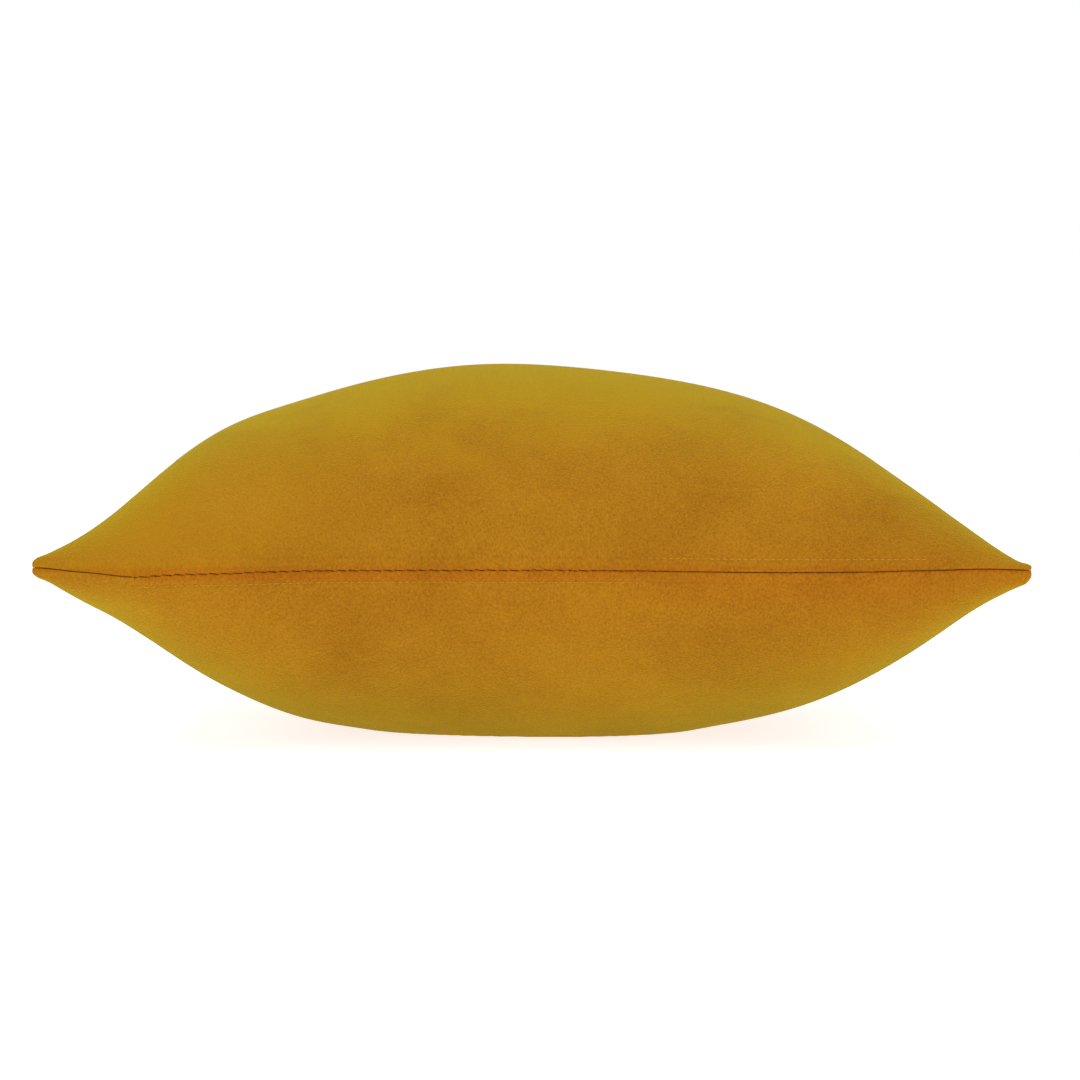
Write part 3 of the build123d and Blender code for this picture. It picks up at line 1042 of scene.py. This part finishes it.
def velvet_material(name, sheen):
    """Cut velvet: deep and warm seen straight on, paler and yellower at a slant."""
    material, tree = new_material(name)
    place = add(tree, "ShaderNodeTexCoord").outputs["Object"]
    patches = add(
        tree,
        "ShaderNodeTexNoise",
        {"Scale": 1 / (55 * mm), "Detail": 3, "Roughness": 0.55},
        {"Vector": place},
    )
    handled = add(
        tree,
        "ShaderNodeTexNoise",
        {"Scale": 1 / (9 * mm), "Detail": 3, "Roughness": 0.6},
        {"Vector": place},
    )
    # Real pile has a grain of about 0.3 mm. This one is coarser, so that it shows from afar.
    combed = add(tree, "ShaderNodeMapping", {"Scale": (1, 1, 0.6)}, {"Vector": place})
    grain = add(
        tree,
        "ShaderNodeTexNoise",
        {"Scale": 1 / (0.95 * mm), "Detail": 2, "Roughness": 0.6},
        {"Vector": combed.outputs[0]},
    )
    both = add(
        tree,
        "ShaderNodeMath",
        {"operation": "MULTIPLY_ADD", 1: 0.3},
        {0: handled.outputs["Fac"], 2: patches.outputs["Fac"]},
    )
    speckled = add(
        tree,
        "ShaderNodeMath",
        {"operation": "MULTIPLY_ADD", 1: 1.7},
        {0: grain.outputs["Fac"], 2: both.outputs[0]},
    )
    spread_out = add(
        tree,
        "ShaderNodeMapRange",
        {"From Min": 0.95, "From Max": 2.05},
        {"Value": speckled.outputs[0]},
    )
    base = add(
        tree,
        "ShaderNodeMix",
        {"data_type": "RGBA", 6: linear(deep_pile), 7: linear(worn_pile)},
        {0: spread_out.outputs[0]},
    )
    # Painted sheen: the attribute mixes in a paler colour that stands in for light caught at a
    # slant.
    painted_sheen_mask = add(tree, "ShaderNodeAttribute", {"attribute_name": "painted_sheen"})
    lighter = add(
        tree,
        "ShaderNodeMix",
        {"data_type": "RGBA", 7: linear(painted_sheen_pile)},
        {0: painted_sheen_mask.outputs["Fac"], 6: base.outputs[2]},
    )
    pressed = add(tree, "ShaderNodeAttribute", {"attribute_name": "pressed"})
    crushed = add(
        tree,
        "ShaderNodeMix",
        {"data_type": "RGBA", 6: linear(pressed_pile), 7: linear(pressed_tips)},
        {0: spread_out.outputs[0]},
    )
    colour = add(
        tree,
        "ShaderNodeMix",
        {"data_type": "RGBA"},
        {0: pressed.outputs["Fac"], 6: lighter.outputs[2], 7: crushed.outputs[2]},
    )
    tips = add(
        tree,
        "ShaderNodeBump",
        {"Strength": 1.0, "Distance": 0.85 * mm},
        {"Height": grain.outputs["Fac"]},
    )
    lie = add(
        tree,
        "ShaderNodeBump",
        {"Strength": 0.25, "Distance": 1.2 * mm},
        {"Height": handled.outputs["Fac"], "Normal": tips.outputs[0]},
    )
    pile = add(
        tree,
        "ShaderNodeBsdfPrincipled",
        {
            "Roughness": 0.95,
            "Specular IOR Level": 0.08,
            "Sheen Weight": sheen,
            "Sheen Roughness": 0.38,
            "Sheen Tint": linear("#ccf512"),
        },
        {"Base Color": colour.outputs[2], "Normal": lie.outputs[0]},
    )
    add(tree, "ShaderNodeOutputMaterial", links={"Surface": pile.outputs[0]})
    return material


# %% [markdown]
# ## Thread, tape, nylon and metal
#
# The small parts are dyed to match. Sewing thread is spun polyester, two plies twisted together, so
# it shows slanting ridges. Zip tape is woven in a fine herringbone. The coil is nylon monofilament,
# smooth and a little waxy. The slider, tab and stops are cast or stamped zinc under a satin
# lacquer, which rounds their edges and has a faint orange-peel. One function builds the cloth-like
# finishes from a ridge pattern, because only its pitch, slant and colours differ.


# %% Finishes
def ridged_material(name, dark, light, pitch, slant, rough=0.85, sheen=0.15):
    """A thread-like finish: slanting ridges at a real pitch in metres, in two near colours."""
    material, tree = new_material(name)
    place = add(tree, "ShaderNodeTexCoord").outputs["Object"]
    turned = add(tree, "ShaderNodeMapping", {"Rotation": (0, 0.3, slant)}, {"Vector": place})
    # A wave's bands are a twentieth of its scale apart, times two pi.
    ridges = add(
        tree,
        "ShaderNodeTexWave",
        {"Scale": math.pi / (10 * pitch), "Distortion": 0.6, "Detail": 1, "Detail Scale": 2},
        {"Vector": turned.outputs[0]},
    )
    fuzz = add(
        tree, "ShaderNodeTexNoise", {"Scale": 1 / (1.2 * mm), "Detail": 3}, {"Vector": place}
    )
    blend = add(
        tree,
        "ShaderNodeMath",
        {"operation": "MULTIPLY_ADD", 1: 0.5, "use_clamp": True},
        {0: ridges.outputs["Fac"], 2: fuzz.outputs["Fac"]},
    )
    colour = add(
        tree,
        "ShaderNodeMix",
        {"data_type": "RGBA", 6: linear(dark), 7: linear(light)},
        {0: blend.outputs[0]},
    )
    bump = add(
        tree,
        "ShaderNodeBump",
        {"Strength": 0.6, "Distance": 0.12 * mm},
        {"Height": ridges.outputs["Fac"]},
    )
    coat = add(
        tree,
        "ShaderNodeBsdfPrincipled",
        {"Roughness": rough, "Specular IOR Level": 0.2, "Sheen Weight": sheen},
        {"Base Color": colour.outputs[2], "Normal": bump.outputs[0]},
    )
    add(tree, "ShaderNodeOutputMaterial", links={"Surface": coat.outputs[0]})
    return material


def spotted_material(name, dark, light, size, settings, depth=0.05 * mm, strength=0.3):
    """A finish with a soft mottling of a real size in metres, and a bump of the same pattern."""
    material, tree = new_material(name)
    place = add(tree, "ShaderNodeTexCoord").outputs["Object"]
    spots = add(tree, "ShaderNodeTexNoise", {"Scale": 1 / size, "Detail": 3}, {"Vector": place})
    colour = add(
        tree,
        "ShaderNodeMix",
        {"data_type": "RGBA", 6: linear(dark), 7: linear(light)},
        {0: spots.outputs["Fac"]},
    )
    bump = add(
        tree,
        "ShaderNodeBump",
        {"Strength": strength, "Distance": depth},
        {"Height": spots.outputs["Fac"]},
    )
    coat = add(
        tree,
        "ShaderNodeBsdfPrincipled",
        settings,
        {"Base Color": colour.outputs[2], "Normal": bump.outputs[0]},
    )
    add(tree, "ShaderNodeOutputMaterial", links={"Surface": coat.outputs[0]})
    return material


velvet = velvet_material("mustard_cut_velvet", 0.4)
# The same velvet where the fold presses its pile flat: it keeps its colour but loses its sheen.
flattened = velvet_material("mustard_velvet_pressed_flat", 0.04)
# Spun polyester sewing thread: two plies with a 0.5 mm twist, a shade lighter than the pile.
thread = ridged_material("spun_polyester_thread", "#a86f14", "#c68d22", 0.5 * mm, 0.9, 0.95, 0.02)
# Woven polyester zip tape: a herringbone with ribs 0.6 mm apart.
tape = ridged_material("woven_polyester_tape", "#96661a", "#ad7a22", 0.6 * mm, 0.5)
# Braided filler cord inside the coil: undyed cotton, crossing strands 0.4 mm apart.
cord_finish = ridged_material("braided_filler_cord", "#b08a45", "#cfae6b", 0.4 * mm, 1.1)
# Nylon monofilament: extruded and heat-set, smooth, so it keeps a soft waxy shine.
nylon = spotted_material(
    "nylon_monofilament",
    "#a36f1f",
    "#ad7824",
    2 * mm,
    {"Roughness": 0.35, "IOR": 1.53, "Subsurface Weight": 0.1, "Subsurface Scale": 0.5 * mm},
)
# Die-cast zinc under a satin lacquer: an even colour with a faint orange-peel.
lacquer = spotted_material(
    "satin_lacquered_zinc",
    "#8f5c10",
    "#966312",
    0.9 * mm,
    {"Roughness": 0.42, "Coat Weight": 0.2, "Coat Roughness": 0.25},
    depth=0.02 * mm,
    strength=0.2,
)
# Hollow-fibre polyester filling: a white tangle of crimped fibres, soft and matt.
fibre = spotted_material(
    "hollow_fibre_polyester",
    "#e9e6df",
    "#fbfaf6",
    3 * mm,
    {"Roughness": 1.0, "Sheen Weight": 0.3, "Specular IOR Level": 0.1},
    depth=1.5 * mm,
    strength=0.8,
)
# White spun polyester thread, for the pad's own seams.
white_thread = ridged_material("white_polyester_thread", "#dcd6c8", "#f4f0e6", 0.5 * mm, 0.9)


def nonwoven_material():
    """Spunbonded polypropylene: a thin felt of white filaments, welded at a grid of tiny points."""
    material, tree = new_material("spunbonded_nonwoven")
    place = add(tree, "ShaderNodeTexCoord").outputs["Object"]
    # The bond points are 1.5 mm apart.
    bonds = add(
        tree,
        "ShaderNodeTexVoronoi",
        {"Scale": 1 / (1.5 * mm), "Randomness": 0.15},
        {"Vector": place},
    )
    point = add(
        tree,
        "ShaderNodeMapRange",
        {"From Min": 0.15, "From Max": 0.4},
        {"Value": bonds.outputs["Distance"]},
    )
    web = add(tree, "ShaderNodeTexNoise", {"Scale": 1 / (0.8 * mm), "Detail": 4}, {"Vector": place})
    both = add(
        tree,
        "ShaderNodeMath",
        {"operation": "MULTIPLY_ADD", 1: 0.4},
        {0: web.outputs["Fac"], 2: point.outputs[0]},
    )
    colour = add(
        tree,
        "ShaderNodeMix",
        {"data_type": "RGBA", 6: linear("#dfdacb"), 7: linear("#f3efe4")},
        {0: both.outputs[0]},
    )
    bump = add(
        tree,
        "ShaderNodeBump",
        {"Strength": 0.5, "Distance": 0.1 * mm},
        {"Height": both.outputs[0]},
    )
    sheet = add(
        tree,
        "ShaderNodeBsdfPrincipled",
        {"Roughness": 0.8, "Sheen Weight": 0.1},
        {"Base Color": colour.outputs[2], "Normal": bump.outputs[0]},
    )
    add(tree, "ShaderNodeOutputMaterial", links={"Surface": sheet.outputs[0]})
    return material


nonwoven = nonwoven_material()
print("materials:", len(bpy.data.materials))

# %% [markdown]
# ## What each piece is, and what it moves with
#
# Every new piece stands for a CAD piece, takes a finish, and rides with the cover. The lips, the
# coils and their cords get meshes of their own. The CAD pieces that stay keep their shapes, and
# only get finishes.


# %% Pieces and bodies
def wear(piece, finish):
    """Gives a piece one finish."""
    piece.data.materials.clear()
    piece.data.materials.append(finish)


def stand_in(piece, node, finish):
    """Hides the CAD piece that a new piece stands for, gives the new piece its finish, and hangs it
    on the cover.
    """
    wear(piece, finish)
    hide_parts(node)
    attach(piece, "cover")


for piece, node in (
    (top_panel, "cover_top_panel"),
    (bottom_panel, "cover_bottom_panel"),
    (upper_lip, "zip_lip_upper"),
    (lower_lip, "zip_lip_lower"),
):
    stand_in(piece, node, velvet)
    # Faces inside the slit and the seam are pressed together, so they have no sheen.
    piece.data.materials.append(flattened)
    for face in piece.data.polygons:
        x, y, z = face.center
        at_rim = max(abs(x), abs(y)) > half_tips - edge_pull - 6 * mm
        if at_rim and abs(z - settle(Vector((x, y, seam)), 1).z) < 0.75 * mm:
            face.material_index = 1
for number, (_, word) in enumerate(halves):
    stand_in(rows[number], "zip_stitching_" + word, thread)
    stand_in(tapes[number], "zip_tape_" + word, tape)
    stand_in(coils[number], "zip_coil_" + word, nylon)
    stand_in(cords[number], "zip_cord_" + word, cord_finish)
for number, word in enumerate(("left", "right")):
    stand_in(tacks[number], "zip_bar_tack_" + word, thread)
stand_in(case_top, "pad_case_top", nonwoven)
stand_in(case_bottom, "pad_case_bottom", nonwoven)
stand_in(filling, "pad_filling", fibre)
for node, finish in (
    ("cover_seam_thread", thread),
    ("cover_overlock_thread", thread),
    ("pad_seam_thread", white_thread),
    ("pad_closing_thread", white_thread),
    ("zip_top_stops", lacquer),
    ("zip_bottom_stop", lacquer),
    ("zip_slider", lacquer),
    ("zip_pull_tab", lacquer),
):
    wear(frame["nodes"][node], finish)

# %% Soft pieces
for side, lip, coil_half, cord_half in (
    (1, upper_lip, coils[0], cords[0]),
    (-1, lower_lip, coils[1], cords[1]),
):
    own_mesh(lip)
    for wound in (coil_half, cord_half):
        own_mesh(wound)

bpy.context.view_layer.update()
triangles = sum(len(p.vertices) - 2 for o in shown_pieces() for p in o.data.polygons)
print("triangles in all:", triangles)
